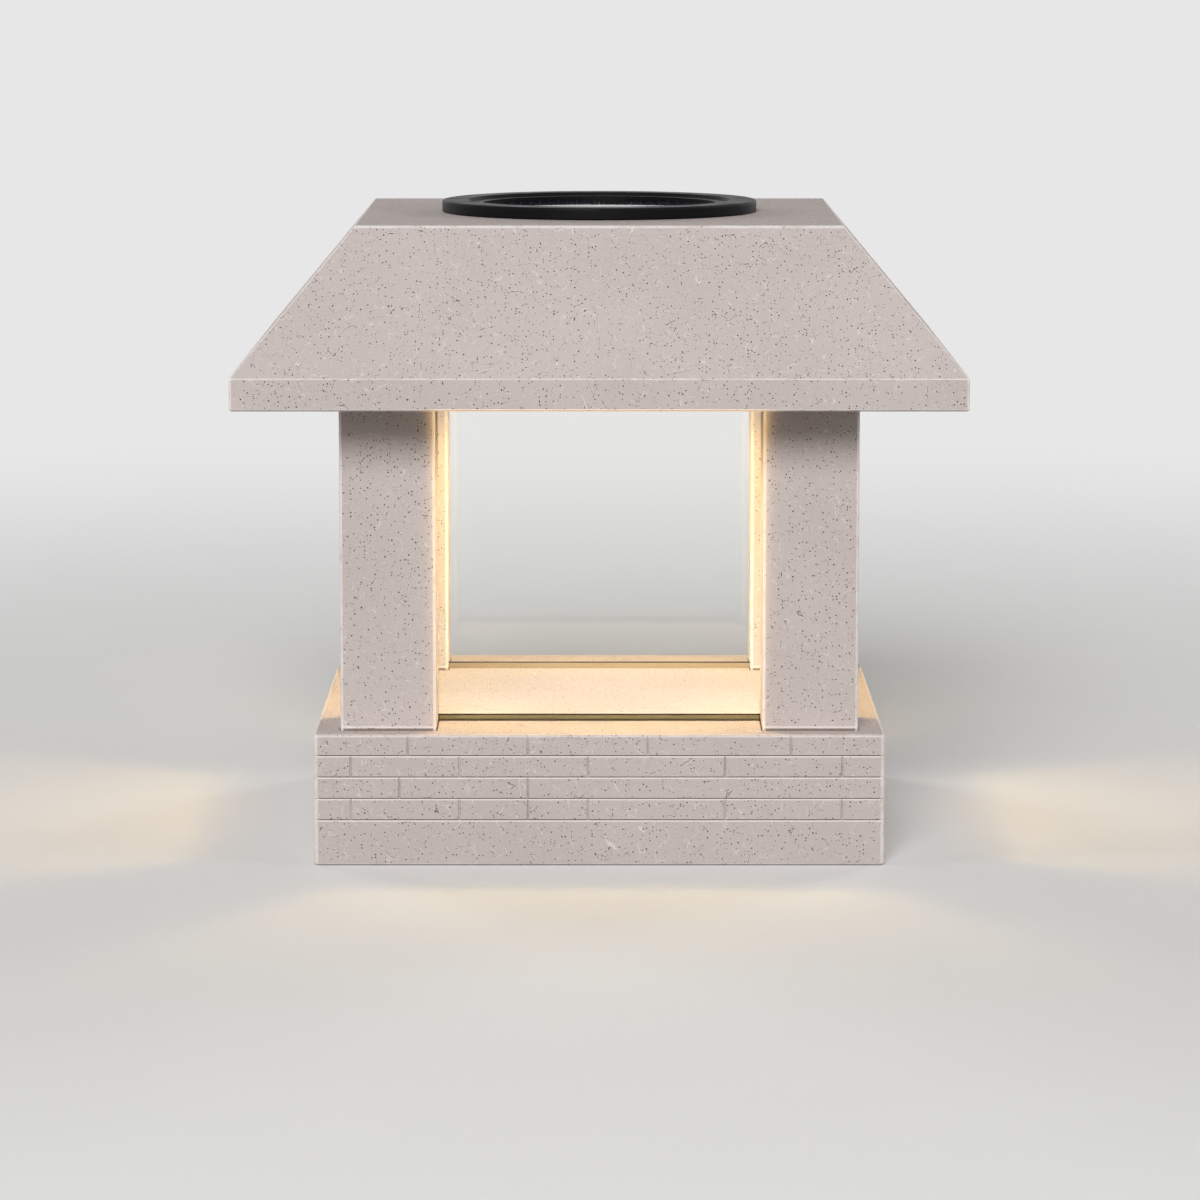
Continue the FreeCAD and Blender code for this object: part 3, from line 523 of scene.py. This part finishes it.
finishes = {
    "stone_look": stone(),
    "ceiling": ceiling(),
    "pane_glass": pane_glass(),
    "clear_strip": clear_strip(),
    "foam": foam(),
    "screw_steel": steel("screw_steel", (0.62, 0.61, 0.59), 0.32),
    "black_plastic": black_plastic(),
    "seal_rubber": rubber(),
    "panel_glass": panel_glass(),
    "silicon": silicon(),
    "circuit_green": circuit(),
    "board_white": board_white(),
    "cell_wrap": cell_wrap(),
    "contact_metal": steel("contact_metal", (0.72, 0.68, 0.58), 0.25),
    "component_black": component_black(),
    "lens_frosted": lens_frosted(),
    "reflector_white": white_reflector(),
    "led_warm": led_warm(),
    "leads": leads(),
    "switch_metal": steel("switch_metal", (0.70, 0.70, 0.69), 0.28),
}
for part in frame["record"]["subparts"]:
    node = node_objects[part["node"]]
    node.data.materials.clear()
    node.data.materials.append(finishes[part["material_slot"]])


# ---- Floor, light and camera ----
def stage_floor():
    """A pale disc that fades into the background far from the object."""
    corners, radius = 96, 8.0
    turns = [2 * math.pi * i / corners for i in range(corners)]
    mesh = bpy.data.meshes.new("floor")
    mesh.from_pydata([(radius * math.cos(turn), radius * math.sin(turn), 0) for turn in turns],
                     [], [list(range(corners))])
    floor = bpy.data.objects.new("floor", mesh)
    bpy.context.scene.collection.objects.link(floor)
    p = Paint("floor", roughness=0.9, Specular_IOR_Level=0.2)
    seen = p.seen_rays()
    pale = p.mix(p.noise(30, 4), (0.85, 0.85, 0.845), (0.87, 0.87, 0.865))
    p.color(p.mix(seen, (FLOOR_BOUNCE, FLOOR_BOUNCE, FLOOR_BOUNCE), pale))
    distance = p.node("ShaderNodeVectorMath", operation="LENGTH")
    p.link(p.coords, distance.inputs[0])
    far = p.times(p.ramp(distance.outputs["Value"], FADE_START, FADE_END), seen)
    glow = p.node("ShaderNodeEmission")
    glow.inputs["Color"].default_value = (BACKGROUND, BACKGROUND, BACKGROUND, 1)
    p.mix_shaders(far, p.shader.outputs[0], glow.outputs[0], p.output)
    mesh.materials.append(p.mat)


def world_light():
    """Pale where it is seen, and a softer level for everything else."""
    world = bpy.data.worlds.new("studio")
    bpy.context.scene.world = world
    world.use_nodes = True
    n = Nodes(world.node_tree)
    output = n.node("ShaderNodeOutputWorld")
    seen, soft = n.node("ShaderNodeBackground"), n.node("ShaderNodeBackground")
    seen.inputs["Color"].default_value = (BACKGROUND, BACKGROUND, BACKGROUND, 1)
    soft.inputs["Color"].default_value = (1, 1, 1, 1)
    soft.inputs["Strength"].default_value = WORLD_LEVEL
    n.mix_shaders(n.seen_rays(), soft.outputs[0], seen.outputs[0], output)


def lamp_beam():
    """The light that the lens throws down and sideways, from a small lamp just under it. It is
    weakest straight down, and none goes up."""
    lamp = bpy.data.lights.new("lamp_beam", "POINT")
    lamp.energy, lamp.shadow_soft_size, lamp.color = BEAM_WATTS, BEAM_RADIUS, BEAM_COLOR
    lamp.use_nodes = True
    n = Nodes(lamp.node_tree)
    output, glow = n.node("ShaderNodeOutputLight"), n.node("ShaderNodeEmission")
    down = n.times(n.parts(n.node("ShaderNodeTexCoord").outputs["Normal"])[2], -1.0)
    strength = n.times(n.ramp(down, 0.95, 0.65, 0.58, 1.75), n.ramp(down, 0.0, 0.2))
    n.link(strength, glow.inputs["Strength"])
    n.link(glow.outputs[0], output.inputs["Surface"])
    made = bpy.data.objects.new("lamp_beam", lamp)
    bpy.context.scene.collection.objects.link(made)
    made.location = (0, 0, LENS_HEIGHT - 0.009)
    made.parent = frame["bodies"]["module"]


def soft_light(name, azimuth, elevation, level, glare=False):
    """A round area light that gives a surface facing it that level. Azimuth 0 is in front. Without
    glare it isn't seen in reflections."""
    size, distance, target = 0.9, 2.4, Vector((0, 0, 0.07))
    a, e = math.radians(azimuth), math.radians(elevation)
    toward = Vector((math.sin(a) * math.cos(e), -math.cos(a) * math.cos(e), math.sin(e)))
    lamp = bpy.data.lights.new(name, "AREA")
    lamp.shape, lamp.size = "DISK", size
    lamp.energy = level * (math.pi * distance) ** 2
    made = bpy.data.objects.new(name, lamp)
    bpy.context.scene.collection.objects.link(made)
    made.location = target + toward * distance
    made.rotation_mode = "QUATERNION"
    made.rotation_quaternion = (-toward).to_track_quat("-Z", "Y")
    made.visible_camera, made.visible_glossy = False, glare


stage_floor()
world_light()
lamp_beam()
soft_light("key", -6, 27, 0.72, glare=True)
soft_light("right", 74, 10, 0.28)
soft_light("left", -76, 10, 0.28)
soft_light("back_right", 142, 10, 0.42)
soft_light("back_left", -142, 10, 0.42)

# The photograph's view: from the front, 7.6 degrees above level.
camera = bpy.data.objects.new("camera", bpy.data.cameras.new("camera"))
bpy.context.scene.collection.objects.link(camera)
camera.data.lens, camera.data.sensor_width = 156.06, 36.0
camera.location = (0.00015, -1.1235, 0.1973)
camera.rotation_euler = (math.radians(82.42), 0, 0)
bpy.context.scene.camera = camera
bpy.context.scene.view_settings.view_transform = "Standard"
